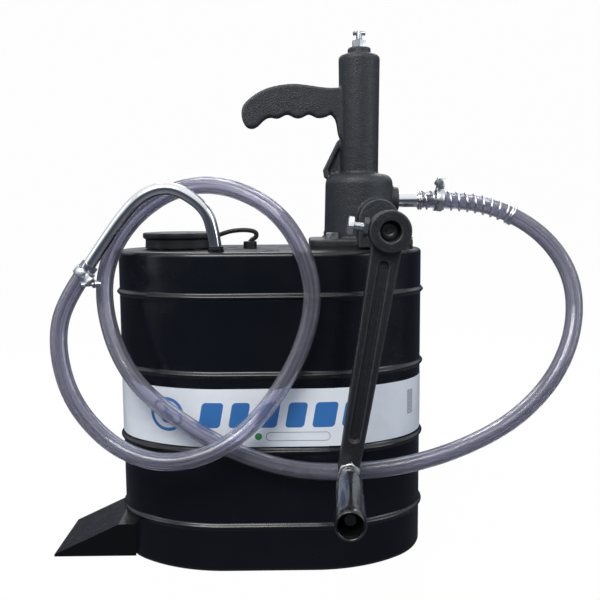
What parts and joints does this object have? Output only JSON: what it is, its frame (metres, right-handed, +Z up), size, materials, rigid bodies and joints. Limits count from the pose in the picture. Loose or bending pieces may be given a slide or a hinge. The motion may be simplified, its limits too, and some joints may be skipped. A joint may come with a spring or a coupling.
{
  "type": "fluid transfer pump",
  "caption": "Hand lever fluid transfer pump on an oval drum, with rack and pinion piston, carry handle, clear hose and bent spout.",
  "frame": {"origin": "centre of the drum's flat bottom, on the surface it stands on", "axes": "+Z up, +X to the right towards the pump body and the outlet, +Y from the lever's side to the back"},
  "size_m": [0.5895, 0.3889, 0.586],
  "materials": {
    "drum_paint": "satin black stoving paint over sheet steel",
    "label_foil": "satin white printed foil with plain blue shapes",
    "cast_iron_paint": "dark grey paint over sand-cast iron",
    "lever_paint": "black paint over cast steel",
    "grip_plastic": "glossy black moulded plastic",
    "black_plastic": "matte black moulded plastic",
    "black_rubber": "black rubber",
    "clear_hose": "clear soft PVC with a faint violet tint",
    "chrome": "bright plated",
    "zinc_steel": "zinc plated",
    "machined_steel": "machined, oiled",
    "bronze": "cast bronze, machined"
  },
  "bodies": {
    "tank": {"drum_shell": "drum_paint", "drum_top": "drum_paint", "drum_bottom": "drum_paint", "label_band": "label_foil", "foot_step": "drum_paint", "filler_neck": "black_plastic", "cap_tether": "black_rubber", "tether_anchor": "black_plastic", "nozzle_holder": "zinc_steel", "flange_gasket": "black_rubber", "pump_casting": "cast_iron_paint", "flange_washers": "zinc_steel", "flange_bolts": "zinc_steel", "shaft_seal": "black_rubber", "front_bush": "bronze", "rear_bush": "bronze", "rear_plug": "zinc_steel", "rod_bush": "bronze", "pump_tube": "zinc_steel", "foot_valve_body": "bronze", "foot_valve_cage": "bronze", "suction_strainer": "zinc_steel", "bleed_valve_body": "chrome", "outlet_nipple": "chrome", "fluid_hose": "clear_hose", "spring_guard": "chrome", "guard_clamp": "zinc_steel", "guard_clamp_screw": "zinc_steel", "spout_tube": "chrome", "spout_tip": "zinc_steel", "tip_collar": "black_rubber", "spout_clamp": "zinc_steel", "spout_clamp_screw": "zinc_steel"},
    "lever": {"lever_arm": "lever_paint", "lever_shaft": "machined_steel", "drive_pinion": "machined_steel", "pinion_pin": "machined_steel", "hub_set_screw": "zinc_steel", "set_screw_nut": "zinc_steel", "grip_spindle": "machined_steel", "spindle_nut": "zinc_steel"},
    "grip": {"grip_sleeve": "grip_plastic"},
    "piston": {"piston_rod": "machined_steel", "piston_head": "bronze", "piston_cup": "black_rubber", "piston_nut": "zinc_steel"},
    "cap": {"filler_cap": "black_plastic", "cap_gasket": "black_rubber"},
    "bleed": {"bleed_screw": "chrome"},
    "piston_ball": {"piston_ball": "machined_steel"},
    "foot_ball": {"foot_ball": "machined_steel"}
  },
  "joints": [
    {"name": "lever_swing", "type": "hinge", "parent": "tank", "child": "lever", "pos_m": [0.119, -0.062, 0.3673], "axis": [0, 1, 0], "range_deg": [0, 160]},
    {"name": "piston_slide", "type": "slide", "parent": "tank", "child": "piston", "axis": [0, 0, 1], "range_m": [0, 0.03143]},
    {"name": "grip_spin", "type": "hinge", "parent": "lever", "child": "grip", "pos_m": [0.0798, -0.151, 0.13052], "axis": [-0.0628, -0.998, 0], "continuous": true},
    {"name": "cap_lift", "type": "slide", "parent": "tank", "child": "cap", "axis": [0, 0, 1], "range_m": [0, 0.045], "deforming": ["cap_tether"]},
    {"name": "bleed_turn", "type": "hinge", "parent": "tank", "child": "bleed", "pos_m": [0.102, 0, 0.58], "axis": [0, 0, 1], "range_deg": [0, 360]},
    {"name": "piston_ball_lift", "type": "slide", "parent": "piston", "child": "piston_ball", "axis": [0, 0, 1], "range_m": [0, 0.004]},
    {"name": "foot_ball_lift", "type": "slide", "parent": "tank", "child": "foot_ball", "axis": [0, 0, 1], "range_m": [0, 0.004]}
  ],
  "couplings": [
    {"joint": "piston_slide", "follows": "lever_swing", "m_per_rad": 0.01125}
  ]
}
